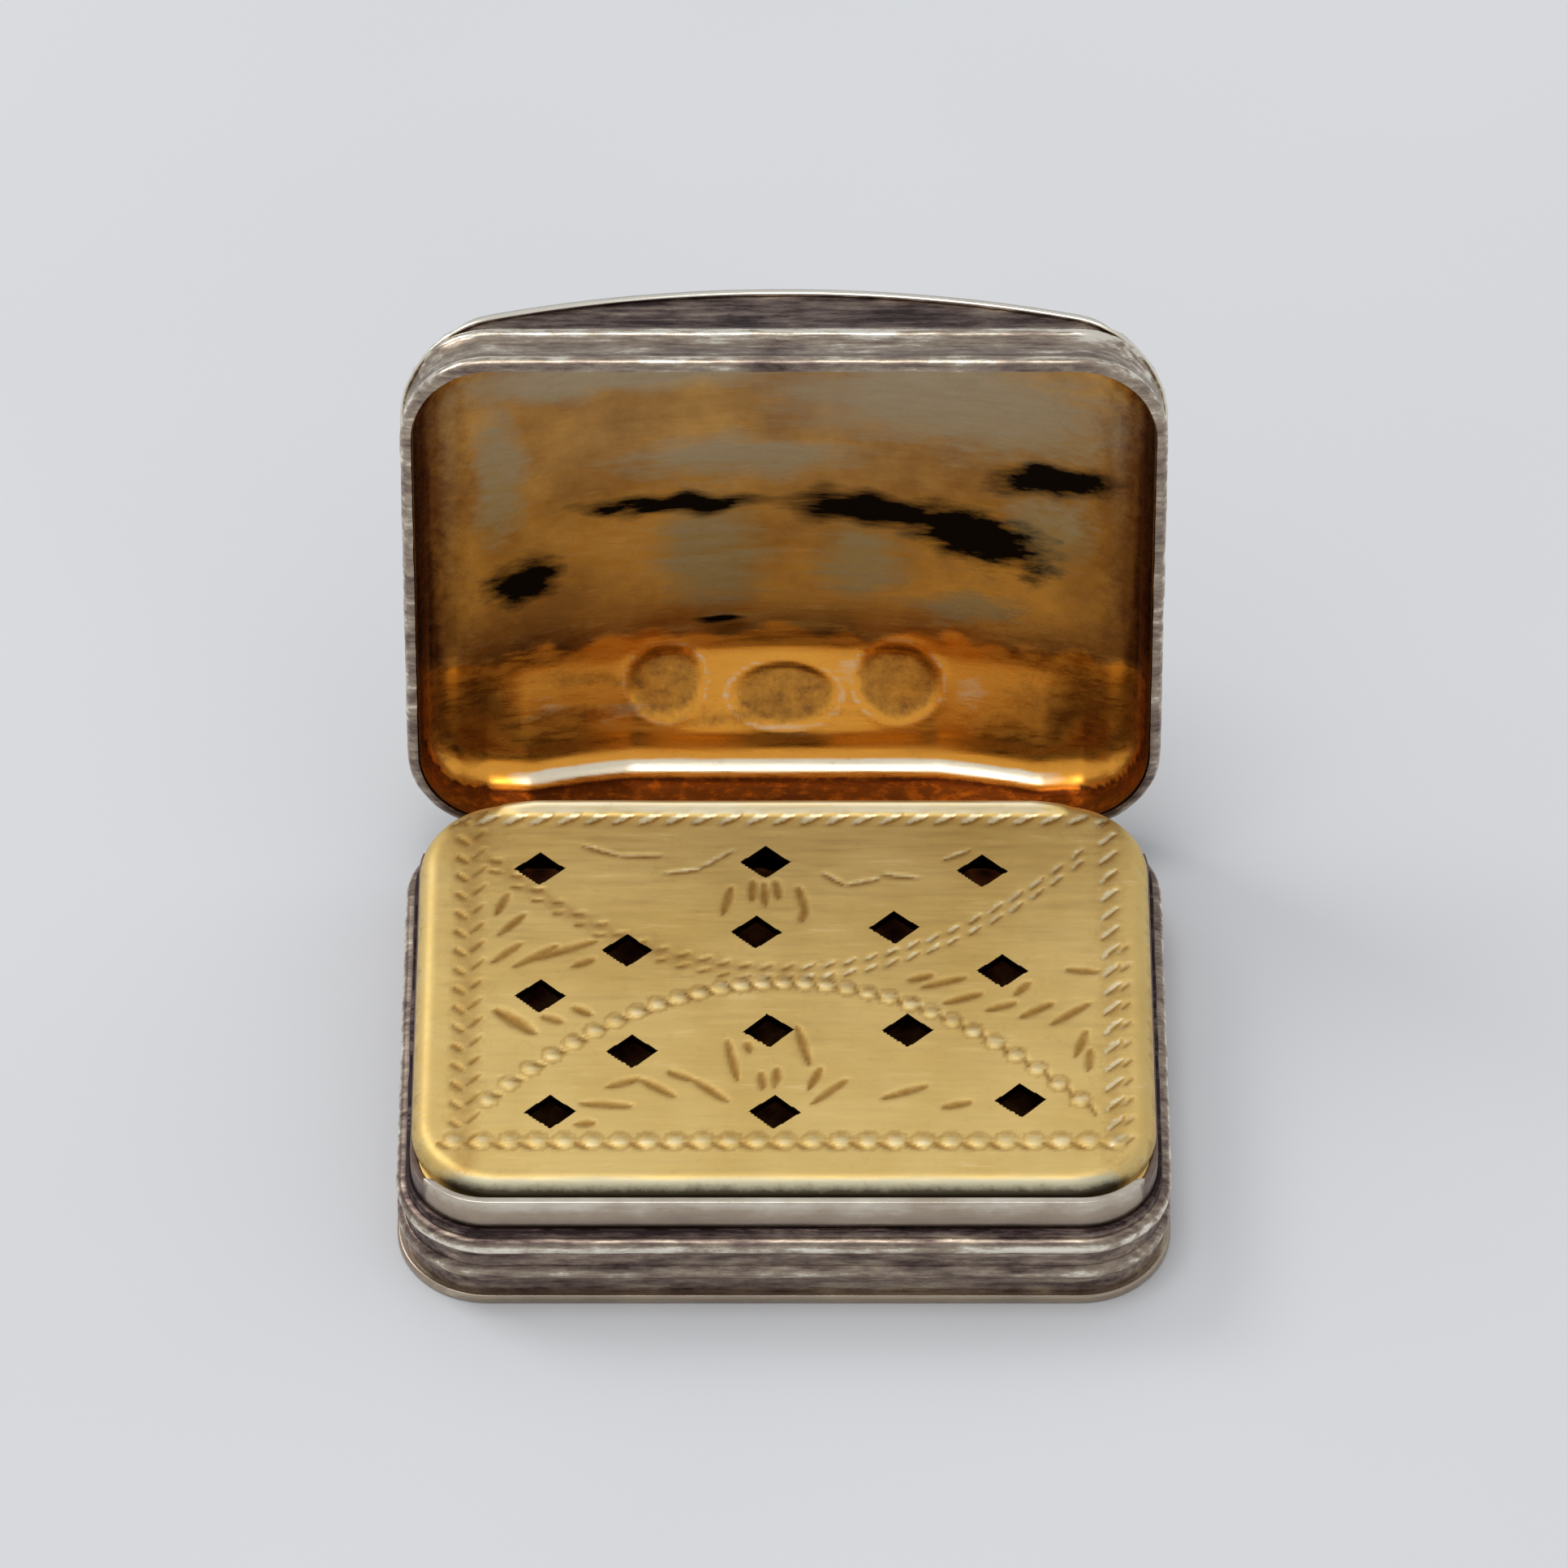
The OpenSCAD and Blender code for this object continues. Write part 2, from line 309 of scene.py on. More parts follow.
PALE_GOLD = {
    "gold": "#ecce86", "deep": "#e2c176", "fresh": "#fff0c4", "worn": "#d8cfae",
    "burnished": "#fff3d2", "cut": "#ad813e", "shade": "#5f5545", "stain": "#1c0f09",
}
STAINED_GOLD = {
    "gold": "#c99c5a", "deep": "#9a7244", "fresh": "#ffb045", "worn": "#a8977c",
    "burnished": "#fff1d4", "cut": "#8a5522", "shade": "#5e3a26", "stain": "#15100d",
}
grille_gilding = fire_gilding("fire-gilt silver, pale and engraved", PALE_GOLD, gloss=(0.46, 0.6), matt=-0.2)
lid_gilding = fire_gilding("fire-gilt silver, wiped and stained", STAINED_GOLD, gloss=(0.16, 0.36), matt=0.03)
print("finishes:", grille_gilding.name, "and", lid_gilding.name)

# %% [markdown]
# ## The grille
# The real grille is a sheet of silver. Its edges were turned down over a stake, its lozenges were sawn out
# and it was engraved by hand before gilding. It could be boxes and cylinders joined by booleans, but a
# sheet that is bent is closer to the truth: a fine flat grid is cut to shape, its border is rolled down, it
# gets its thickness, the lozenges are cut, and the graver's cuts are pressed into the top. The same bending
# makes the lid's plate and lining. From here to the end of the bands, lengths are in millimetres until a
# piece is done.

# %% Bending a sheet's border down
def past_edge(x, y, half_x, half_y, radius):
    """Distance outside a rounded rectangle (negative inside) and the direction out of it."""
    along_x = abs(x) - (half_x - radius)
    along_y = abs(y) - (half_y - radius)
    if along_x > 0 and along_y > 0:
        reach = math.hypot(along_x, along_y)
        return reach - radius, math.copysign(along_x / reach, x), math.copysign(along_y / reach, y)
    if along_x > along_y:
        return along_x - radius, math.copysign(1.0, x), 0.0
    return along_y - radius, 0.0, math.copysign(1.0, y)


def bent_sheet(half_x, half_y, radius, roll, skirt, step):
    """A grid whose border rolls down round the flat and then runs straight down for the skirt.

    Returns the bmesh, and for each vertex its drop on the roll and the share of the skirt above it.
    """
    reach = roll * math.pi / 2 + skirt
    bm = bmesh.new()
    bmesh.ops.create_grid(bm, x_segments=round(2 * (half_x + reach) / step),
                          y_segments=round(2 * (half_y + reach) / step), size=1.0)
    bmesh.ops.scale(bm, vec=(half_x + reach, half_y + reach, 1), verts=bm.verts)
    past = {v: past_edge(v.co.x, v.co.y, half_x, half_y, radius) for v in bm.verts}
    outside = [f for f in bm.faces if all(past[v][0] > reach for v in f.verts)]
    bmesh.ops.delete(bm, geom=outside, context="FACES")
    drops = {}
    for v in bm.verts:
        far, out_x, out_y = past[v]
        if far > 0:
            turn = min(far / roll, math.pi / 2)
            v.co.x += out_x * (roll * math.sin(turn) - far)
            v.co.y += out_y * (roll * math.sin(turn) - far)
            share = (min(far, reach) - roll * turn) / skirt
            drops[v] = (roll * (1 - math.cos(turn)), share)
        else:
            drops[v] = (0.0, 0.0)
    return bm, drops


def turn_faces(bm, way):
    """Makes the faces of a sheet agree, looking up for 1 and down for -1."""
    bmesh.ops.recalc_face_normals(bm, faces=bm.faces)
    if way * sum(f.normal.z for f in bm.faces) < 0:
        bmesh.ops.reverse_faces(bm, faces=bm.faces)


# %% Grille sheet
GRILLE_HALF_X = 11.95
GRILLE_HALF_Y = 8.475
GRILLE_MIDDLE_Y = 0.175
GRILLE_CORNER = 2.9
GRILLE_ROLL = 0.6
GRILLE_TOP = 4.75
GRILLE_SKIRT = 0.1
GRILLE_SHEET = 0.3
GRILLE_STEP = 0.1
bm, drops = bent_sheet(GRILLE_HALF_X - GRILLE_ROLL, GRILLE_HALF_Y - GRILLE_ROLL, GRILLE_CORNER - GRILLE_ROLL,
                       GRILLE_ROLL, GRILLE_SKIRT, GRILLE_STEP)
for v, (drop, share) in drops.items():
    v.co.z = GRILLE_TOP - drop - share * GRILLE_SKIRT
    v.co.y += GRILLE_MIDDLE_Y
turn_faces(bm, 1)
bmesh.ops.solidify(bm, geom=bm.faces, thickness=GRILLE_SHEET)
grille_mesh = to_mesh(bm, "grille_sheet")
print("bent sheet:", len(grille_mesh.polygons), "faces")

# %% Sawing the lozenges
LOZENGE_W = 1.64
LOZENGE_D = 1.42
SAW_TAPER = 0.97
SAW_DEPTH = 1.0
SAW_BELOW = 0.2
SAW_TURN = 0.12
PIERCINGS = [(-8, 5.5), (-0.6, 5.8), (6.5, 5.4), (-5.1, 1.9), (-0.9, 2.7), (3.6, 2.9), (-7.9, -0.1), (7.1, 1),
             (-4.9, -2.5), (-0.5, -1.6), (4, -1.6), (-7.5, -5.1), (-0.3, -5.1), (7.6, -4.6)]


def cut_away(mesh, cutter_bm):
    """The mesh less the cutter, as a new mesh."""
    bmesh.ops.recalc_face_normals(cutter_bm, faces=cutter_bm.faces)
    cutter_mesh = to_mesh(cutter_bm, "cutter")
    cutter = bpy.data.objects.new("cutter", cutter_mesh)
    blank = bpy.data.objects.new("blank", mesh)
    for item in (cutter, blank):
        bpy.context.scene.collection.objects.link(item)
    cut = blank.modifiers.new("cut", "BOOLEAN")
    cut.object = cutter
    cut.solver = "EXACT"
    result = bpy.data.meshes.new_from_object(blank.evaluated_get(bpy.context.evaluated_depsgraph_get()))
    for item in (cutter, blank):
        bpy.data.objects.remove(item)
    bpy.data.meshes.remove(cutter_mesh)
    return result


saw = bmesh.new()
for at_x, at_y in PIERCINGS:
    lozenge = bmesh.ops.create_cone(saw, cap_ends=True, segments=4, radius1=SAW_TAPER, radius2=1.0,
                                    depth=SAW_DEPTH)["verts"]
    turned = Matrix.Rotation(noise.noise(Vector((at_x, at_y, 0))) * SAW_TURN, 3, "Z")
    bmesh.ops.scale(saw, vec=(LOZENGE_W / 2, LOZENGE_D / 2, 1.0), verts=lozenge)
    bmesh.ops.rotate(saw, cent=(0, 0, 0), matrix=turned, verts=lozenge)
    bmesh.ops.translate(saw, vec=(at_x, at_y, GRILLE_TOP - SAW_BELOW), verts=lozenge)
grille_mesh = cut_away(grille_mesh, saw)
print("pierced sheet:", len(grille_mesh.polygons), "faces")

# %% [markdown]
# The engraving is bright-cut work: short slanted strokes of a polished graver, whose facets flash. Two
# bowed rows cross the plate, a rope border frames it, and leaves fan out at both ends. Each stroke is a
# spindle-shaped gouge from one point to another on the plate, and a bead is a round pearl left standing
# between two cuts. The gouges are real dents in the fine grid, so they catch the light from any side.

# %% Layout of the leaves
LEAVES_LEFT = [(-9.4, 3.45, -9, 4.45), (-9.3, 2.55, -8.4, 3.55), (-9.5, 1.35, -8.5, 2.25),
               (-8.8, 1.15, -7.3, 2.15), (-8.2, 1.45, -6, 2.35), (-6.9, 1.15, -6.1, 1.55),
               (-7.9, -0.95, -7.1, -1.25), (-6.9, -0.55, -6.2, -0.95)]
LEAVES_RIGHT = [(4.4, 0.25, 6, 0.75), (4, 0.55, 4.9, 0.85), (5.1, -0.45, 6.5, 0.05),
                (6.5, -0.75, 7.6, -0.35), (7.6, -1.05, 8.8, -0.35), (8.6, -1.35, 10, -0.35),
                (7.5, -0.05, 8, 0.55), (9.4, -2.75, 9.8, -1.55), (9.8, -3.35, 9.9, -2.35),
                (9.1, 1.05, 10.3, 0.95)]
FLOWER_BACK = [(-2, 3.45, -1.7, 4.75), (-1.05, 4.05, -1, 5.05), (-0.6, 3.85, -0.65, 4.95),
               (-0.15, 4.15, -0.3, 5.05), (0.75, 3.55, 0.45, 4.75), (0.55, 3.15, 0.75, 3.85)]
FLOWER_FRONT = [(-1.85, -1.95, -1.5, -3.75), (-1.2, -2.05, -1.1, -2.55), (-0.75, -3.35, -0.65, -4.15),
                (-0.2, -3.15, -0.3, -4.05), (0.4, -1.35, 0.85, -3.15), (0.8, -4.15, 1.2, -3.15),
                (0.9, -4.75, 2.1, -3.65)]
SCROLLS = [(-5.7, -4.05, -4.6, -3.65), (-4.7, -3.65, -3.5, -4.45), (-3.8, -3.35, -2.9, -3.75),
           (-3, -3.65, -1.8, -4.65), (-6.6, -4.75, -4.8, -4.85), (-6.7, -5.65, -6, -5.55),
           (3.1, -4.55, 4.7, -3.95), (5, -4.95, 6.1, -4.65)]
SWAGS = [(-6.7, 6.55, -5.4, 6.05), (-5.5, 6.05, -3.9, 6.05), (-4, 5.25, -2.7, 5.45), (-2.8, 5.45, -1.6, 6.35),
         (1.2, 5.35, 2, 4.75), (2, 4.75, 3.2, 5.05), (3.1, 5.25, 4.5, 5.05), (5.2, 5.85, 6.2, 6.35)]
BROAD_LEAF = (-9.4, -0.65, -8, -1.75)
# A cut is its width, its depth and how brightly its lit facet shines; that shine is a painted highlight
LEAF_CUT = (0.46, 0.05, 0.0)
SWAG_CUT = (0.28, 0.05, 0.5)
BROAD_CUT = (0.7, 0.06, 0.0)

gouges = [(*line, *LEAF_CUT) for line in LEAVES_LEFT + LEAVES_RIGHT + FLOWER_BACK + FLOWER_FRONT + SCROLLS]
gouges += [(*line, *SWAG_CUT) for line in SWAGS]
gouges.append((*BROAD_LEAF, *BROAD_CUT))
print("strokes of the leaves:", len(gouges))

# %% Layout of the border
BORDER = {"left": -10.55, "right": 10.65, "front": -6.4, "back": 7.65}
BEAD_STEP = 0.9
SIDE_STEP = 0.82
SECOND_ROPE_BELOW = 2
FRONT_PEARL_UP = 0.06
FRONT_PEARL = (0.3, 0.06)
# A slant is the run of a stroke from its place on the border, then its cut
BACK_SLANT = (-0.42, -0.2, 0.32, 0.25, 0.42, 0.07, 0.8)
FRONT_SLANT = (-0.62, 0.02, -0.12, -0.3, 0.32, 0.05, 0.0)
LEFT_SLANTS = [(-0.22, 0.12, 0.2, -0.24, 0.34, 0.06, 0.0), (0.36, -0.02, 0.76, 0.44, 0.3, 0.06, 0.1)]
RIGHT_SLANT = (-0.28, -0.32, 0.3, 0.3, 0.34, 0.07, 0.7)
SECOND_SLANT = (0.25, -0.1, 0.6, 0.3, 0.24, 0.06, 0.3)


def slanted(x, y, slant):
    """A gouge of the border at a place."""
    x0, y0, x1, y1, *cut = slant
    return (x + x0, y + y0, x + x1, y + y1, *cut)


pearls = []
steps_across = round((BORDER["right"] - BORDER["left"]) / BEAD_STEP)
for i in range(steps_across + 1):
    at_x = BORDER["left"] + (BORDER["right"] - BORDER["left"]) * i / steps_across
    gouges.append(slanted(at_x, BORDER["back"], BACK_SLANT))
    gouges.append(slanted(at_x, BORDER["front"], FRONT_SLANT))
    pearls.append((at_x, BORDER["front"] + FRONT_PEARL_UP, *FRONT_PEARL))
steps_deep = round((BORDER["back"] - BORDER["front"]) / SIDE_STEP)
for i in range(steps_deep + 1):
    at_y = BORDER["front"] + (BORDER["back"] - BORDER["front"]) * i / steps_deep
    gouges += [slanted(BORDER["left"], at_y, slant) for slant in LEFT_SLANTS]
    gouges.append(slanted(BORDER["right"], at_y, RIGHT_SLANT))
    if at_y < SECOND_ROPE_BELOW:
        gouges.append(slanted(BORDER["right"], at_y, SECOND_SLANT))
print("strokes with the border:", len(gouges))

# %% Layout of the bowed rows
BOW_STEP = 0.68
BOW_STEPS = 14
BOW_APART = 0.24
BOW_PEARL = (0.27, 0.06)
DULL_CUT = (0.26, 0.06, 0.2)
BRIGHT_CUT = (0.26, 0.06, 0.6)


def bow_back(x):
    """The back row, low in the middle."""
    return 0.92 + 0.0535 * x * x


def bow_front(x):
    """The front row, high in the middle."""
    return 0.48 - 0.056 * x * x


for i in range(-BOW_STEPS, BOW_STEPS + 1):
    at_x = i * BOW_STEP
    for side in (-BOW_APART, BOW_APART):
        start_y = bow_back(at_x) + side - 0.14
        end_y = bow_back(at_x + 0.3) + side + 0.12
        # The lit facets of the back row get a stronger painted highlight on the right half than on the left
        gouges.append((at_x - 0.1, start_y, at_x + 0.34, end_y, *(BRIGHT_CUT if at_x > 0 else DULL_CUT)))
    start_y = bow_front(at_x) + BOW_APART
    end_y = bow_front(at_x + 0.4) - BOW_APART
    gouges.append((at_x + 0.1, start_y, at_x + 0.5, end_y, *DULL_CUT))
    pearls.append((at_x, bow_front(at_x), *BOW_PEARL))
print("strokes:", len(gouges), "beads:", len(pearls))

# %% [markdown]
# Three more things show on the real grille. A low ridge runs along its back edge, over the hinge, and its
# upward faces are painted bright, partly as rubbing and partly as a painted highlight. Old polish has left
# deeper gold in the left border, the left half of the back row and the back left corner. The front roll is
# worn to silver on top, where a painted highlight also lies, and is painted dark below as shade and as the
# reflection of the dark bezel.

# %% Cutting the engraving
TOP_DEPTH = 0.05
PEARL_SHINE = 0.42
RING_BROWN = 0.45
RING_WIDTH = 1.5
HAND_SIZE = 4.0
HAND_HEIGHT = 0.02
points = np.empty(len(grille_mesh.vertices) * 3)
grille_mesh.vertices.foreach_get("co", points)
points = points.reshape(-1, 3)
sunk = np.zeros(len(points))
raised = np.zeros(len(points))
browned_and_shaded = np.zeros(len(points))
flashing = np.zeros(len(points))
# In each gouge the lit facet gets a painted highlight and the unlit facet a browner colour as painted shade
for x0, y0, x1, y1, width, depth, shine in gouges:
    length = math.hypot(x1 - x0, y1 - y0)
    along = ((points[:, 0] - x0) * (x1 - x0) + (points[:, 1] - y0) * (y1 - y0)) / length ** 2
    across = ((points[:, 1] - y0) * (x1 - x0) - (points[:, 0] - x0) * (y1 - y0)) / length
    half_width = width / 2 * np.sqrt(np.clip(1 - (2 * along - 1) ** 2, 1e-6, 1))
    inside = np.clip(1 - np.abs(across) / half_width, 0, 1) * ((along > 0) & (along < 1))
    sunk = np.maximum(sunk, inside * depth)
    lit = across > 0
    browned_and_shaded = np.maximum(browned_and_shaded, np.where(lit, 1 - shine, 1) * np.clip(inside * 1.5, 0, 1))
    flashing = np.maximum(flashing, np.where(lit, shine, 0) * (inside > 0.05))
# Each pearl gets a painted highlight on its top
for at_x, at_y, radius, height in pearls:
    far = np.hypot(points[:, 0] - at_x, points[:, 1] - at_y) / radius
    dome = np.clip(1 - far ** 2, 0, 1)
    raised = np.maximum(raised, height * dome)
    browned_and_shaded = np.maximum(browned_and_shaded, RING_BROWN * ((far > 1) & (far < RING_WIDTH))) * (dome < 0.2)
    flashing = np.maximum(flashing, PEARL_SHINE * dome)
on_top = points[:, 2] > GRILLE_TOP - TOP_DEPTH
hand = np.array([noise.noise(Vector(p) / HAND_SIZE) for p in points]) * HAND_HEIGHT
hand *= points[:, 2] > GRILLE_TOP - GRILLE_SHEET - TOP_DEPTH
points[:, 2] += np.where(on_top, np.where(raised > 0, raised * 0.5, -0.6 * sunk), 0) + hand
print("deepest cut:", round(0.6 * sunk.max(), 3), "mm")

# %% Ridge along the back edge
RIDGE_Y = 8.32
RIDGE_HALF = 0.46
RIDGE_END = 9.4
RIDGE_FADE = 1.2
RIDGE_RISE = 0.3
across_ridge = np.clip(np.abs(points[:, 1] - RIDGE_Y) / RIDGE_HALF, 0, 1)
along_ridge = np.clip((RIDGE_END - np.abs(points[:, 0])) / RIDGE_FADE, 0, 1) ** 0.5
points[:, 2] += RIDGE_RISE * along_ridge * np.cos(across_ridge * math.pi / 2) ** 2
grille_mesh.vertices.foreach_set("co", (points * MM).ravel())
print("ridge is", 2 * RIDGE_END, "mm long")

# %% Marks of the grille
BORDER_TINT = 0.5
TINT_HALF = 0.5
BOW_TINT_HALF = 0.4
RIGHT_TINT = 0.7
CORNER_TINT = 1.4
STAINED_CORNER = (-10.2, 6.9, 0.9)
FRONT_FROM = -7.3
ROLL_WEAR_AND_HIGHLIGHT = 0.62
SAWN_INSIDE = -0.9


def bell(distance, half):
    """1 in the middle of a soft strip, falling away to both sides."""
    return np.exp(-(distance / half) ** 2)


grille_x, grille_y, grille_z = points.T
left_share = np.clip(0.5 - grille_x / 8, 0, 1)
corner_x, corner_y, corner_size = STAINED_CORNER
tint = bell(grille_x - BORDER["left"] - 0.25, TINT_HALF)
tint = np.maximum(tint, left_share * bell(grille_y - bow_back(grille_x), BOW_TINT_HALF))
tint = np.maximum(tint, RIGHT_TINT * bell(grille_x - BORDER["right"], TINT_HALF))
tint = np.maximum(tint, CORNER_TINT * bell(np.hypot(grille_x - corner_x, grille_y - corner_y), corner_size))
rim = np.array([past_edge(x, y - GRILLE_MIDDLE_Y, GRILLE_HALF_X, GRILLE_HALF_Y, GRILLE_CORNER)[0]
                for x, y, z in points])
# The walls sawn round the lozenges get the dark stain colour as painted shade inside the holes
sawn = np.zeros(len(points))
for face in grille_mesh.polygons:
    if abs(face.normal.z) < 0.3 and rim[face.vertices[0]] < SAWN_INSIDE:
        sawn[list(face.vertices)] = 1.0
front = np.clip((FRONT_FROM - grille_y) / 0.6, 0.3, 1)
low = np.clip((GRILLE_TOP - 0.08 - grille_z) / 0.25, 0, 1)
upward = np.array([v.normal.z > 0.2 for v in grille_mesh.vertices])
# Cut colour, with painted shade on the unlit facets, and the deeper gold of old polish
set_marks(grille_mesh, "cut", 0.85 * np.maximum(browned_and_shaded, BORDER_TINT * tint) * on_top)
# Painted highlight: the flash of the lit facets and the pearl tops
set_marks(grille_mesh, "fresh", 0.7 * flashing * on_top)
# Bare silver on top of the front roll, with a painted highlight there, and painted shade with the reflection
# of the dark bezel on its lower part
set_marks(grille_mesh, "worn", front * np.clip((rim + ROLL_WEAR_AND_HIGHLIGHT) / 0.35, 0, 1))
set_marks(grille_mesh, "shade", 0.95 * front * low)
# Painted shade inside the lozenges
set_marks(grille_mesh, "stain", sawn)
# A painted highlight on the ridge's upward faces, together with its rubbing
set_marks(grille_mesh, "burnished", 0.6 * along_ridge * upward * (across_ridge < 0.9))
place(grille_mesh, "engraved_grille", grille_gilding, "grille_body", "gilt", "grille")
grille_mesh.set_sharp_from_angle(angle=math.radians(50))

# %% [markdown]
# ## The lid
# The lid is a reeded band with an arched plate soldered on. Inside, the plate runs into the walls in a soft
# solder fillet, and the whole inside is gilt. The fillet matters to the eye: it is the brown frame at both
# ends of the inside, and its bright line, a painted highlight, runs along the hinge. The lining is therefore
# a sheet of its own, bent like the grille but upside down. It slopes down towards the hinge, and it has three
# blank dents where a punch was once struck, painted darker inside as shade and brighter on their rims as
# highlight. Everything is made with the lid shut and then turned open round the pin.

# %% Lid measures
LID_HALF_X = 12.5
LID_HALF_Y = 9.15
LID_CORNER = 3.0
LID_WALL = 0.4
LID_RIM = 3.25
ARCH_RADIUS = 29.3
ARCH_MIDDLE = -21.4
LID_SHEET = 0.3
PIN_Y = 8.95
PIN_Z = 2.4
LID_OPEN = math.radians(103)


def arch(x, below=0.0):
    """Height of the lid's arch, or of a surface below it."""
    return ARCH_MIDDLE + math.sqrt((ARCH_RADIUS - below) ** 2 - x * x)


def open_lid(bm):
    """Turns a piece of the shut lid to its open rest and brings it to metres."""
    opened = Matrix.Rotation(-LID_OPEN, 3, "X")
    bmesh.ops.rotate(bm, cent=(0, PIN_Y, PIN_Z), matrix=opened, verts=bm.verts)
    bmesh.ops.scale(bm, vec=(MM, MM, MM), verts=bm.verts)


# %% Lid plate
PLATE_ROLL = 0.14
PLATE_SKIRT = 0.22
PLATE_SHEET = 0.1
PLATE_STEP = 0.35
EDGE_BAND = 0.12
PLATE_SHINE = 0.5
bm, drops = bent_sheet(LID_HALF_X - PLATE_ROLL, LID_HALF_Y - PLATE_ROLL, LID_CORNER - PLATE_ROLL,
                       PLATE_ROLL, PLATE_SKIRT, PLATE_STEP)
for v, (drop, share) in drops.items():
    v.co.z = arch(min(abs(v.co.x), LID_HALF_X)) - drop - share * PLATE_SKIRT
turn_faces(bm, 1)
bmesh.ops.solidify(bm, geom=bm.faces, thickness=PLATE_SHEET)
edge_marks = []
for v in bm.verts:
    v.co.z += noise.noise(Vector(v.co) / 3.5) * 0.015
    far = past_edge(v.co.x, v.co.y, LID_HALF_X, LID_HALF_Y, LID_CORNER)[0]
    edge_marks.append(clamp((far + EDGE_BAND) / 0.08, PLATE_SHINE))
open_lid(bm)
plate_mesh = to_mesh(bm, "arched_plate")
set_marks(plate_mesh, "crest", edge_marks)
place(plate_mesh, "arched_plate", plate_silver, "lid_body", "silver", "lid_plate")

# %% Lid lining
LINING_GAP = 0.04
LINING_STEP = 0.16
LINING_SHEET = 0.03
FILLET = 1.2
LINING_RIM = LID_RIM + 0.1
LINING_SKIRT = 3.0
SLOPE_FROM = 4.6
HINGE_TOP = 6.5
END_DIP = 0.6
DIP_END = 10.0
DIP_FADE = 1.5
DENTS = [(-3.95, 5.7, 1.3, 1.3), (0.0, 6.2, 1.8, 1.05), (3.8, 5.7, 1.45, 1.35)]
DENT_DEPTH = 0.07
DENT_LIP = 0.025
lining_half_x = LID_HALF_X - LID_WALL - LINING_GAP
lining_half_y = LID_HALF_Y - LID_WALL - LINING_GAP
lining_corner = LID_CORNER - LID_WALL - LINING_GAP
flat_half_x = lining_half_x - FILLET
flat_half_y = lining_half_y - FILLET
bm, drops = bent_sheet(flat_half_x, flat_half_y, lining_corner - FILLET, FILLET, LINING_SKIRT, LINING_STEP)
for v, (drop, share) in drops.items():
    top = arch(min(abs(v.co.x), flat_half_x), LID_SHEET + LINING_GAP)
    near_hinge = clamp((v.co.y - SLOPE_FROM) / (flat_half_y - SLOPE_FROM))
    dip = END_DIP * clamp((DIP_END - abs(v.co.x)) / DIP_FADE)
    top -= max(dip, top - HINGE_TOP) * near_hinge ** 1.3
    v.co.z = top - drop - share * (top - FILLET - LINING_RIM)
    for dent_x, dent_y, size_x, size_y in DENTS:
        far = math.hypot((v.co.x - dent_x) / size_x, (v.co.y - dent_y) / size_y)
        v.co.z += DENT_DEPTH / (1 + math.exp((far - 0.86) * 22))
        v.co.z -= DENT_LIP * math.exp(-((far - 1.06) / 0.1) ** 2)
    if share == 0:
        v.co.z += noise.noise(Vector(v.co) / 3.0) * 0.03
lining_points = [v.co.copy() for v in bm.verts]
lining_drops = [drops[v][0] for v in bm.verts]
turn_faces(bm, -1)
open_lid(bm)
lining_mesh = to_mesh(bm, "gilt_lining")
print("lining:", len(lining_points), "points")

# %% Patches of the lining
# Each patch is the middle of an oval, its two half sizes and its turn
STAINS = [(3.0, -0.85, 3.3, 0.75, 0.08), (6.3, -0.15, 2.9, 1.3, 0.2), (-3.4, -1.1, 3.5, 0.5, 0.02),
          (-8.6, 1.15, 1.5, 0.85, -0.2), (8.9, -2.75, 2.4, 0.6, -0.15), (-2.2, 3.6, 0.9, 0.14, 0.0)]
BARE = [(-5.5, -6.4, 5.5, 0.9, 0.0), (5.8, -5.2, 6.0, 2.0, 0.05), (-1.5, -2.9, 4.0, 0.8, 0.0),
        (-2.4, 0.9, 1.9, 2.4, 0.0), (2.6, 1.2, 1.6, 1.5, 0.0), (8.8, -0.9, 1.6, 1.6, 0.0),
        (-9.4, -3.0, 0.8, 2.6, 0.0), (6.0, 2.6, 2.0, 0.6, 0.0)]
BROWN = [(-6.0, 6.6, 4.0, 0.3, 0.0), (-1.5, 6.9, 2.8, 0.22, 0.0), (9.0, 6.0, 1.6, 1.0, 0.0),
         (-10.0, 5.4, 0.7, 0.9, 0.0), (-6.5, 5.3, 1.6, 0.35, 0.1)]
# Glints are painted highlights on the gold by the hinge
GLINTS = [(-8.0, 6.2, 0.9, 0.8, 0.0), (-5.8, 6.7, 1.3, 0.4, 0.0), (0.6, 7.25, 0.9, 0.25, 0.0),
          (6.2, 6.0, 0.6, 1.0, 0.0), (1.9, 5.5, 0.5, 0.6, 0.0)]
FRESH_AND_SHEEN_FROM = 3.7
SHADE_FROM = 9.9
SHADE_WIDTH = 1.5
LINE_END = 9.8
LINE_FADE = 2.0
RAGGED = 0.4
RAGGED_SIZE = 1.3
PATCH_REACH = 1.6


def smudge(p, patches, edge=1.2):
    """How far inside the nearest of some soft, ragged ovals a point of the shut lid lies."""
    dx = noise.noise(p / RAGGED_SIZE) * RAGGED
    dy = noise.noise(p / RAGGED_SIZE + Vector((9, 9, 9))) * RAGGED
    inside = 0.0
    for x, y, size_x, size_y, turn in patches:
        across = p.x - x + dx
        along = p.y - y + dy
        far = math.hypot((across * math.cos(turn) + along * math.sin(turn)) / size_x,
                         (along * math.cos(turn) - across * math.sin(turn)) / size_y)
        inside = max(inside, clamp((PATCH_REACH - far) / edge))
    return inside


def dented(p):
    """How far inside a blank dent a point lies: 1 in its middle, 0 on its rim, less than 0 outside."""
    return max(1 - math.hypot((p.x - x) / size_x, (p.y - y) / size_y) for x, y, size_x, size_y in DENTS)


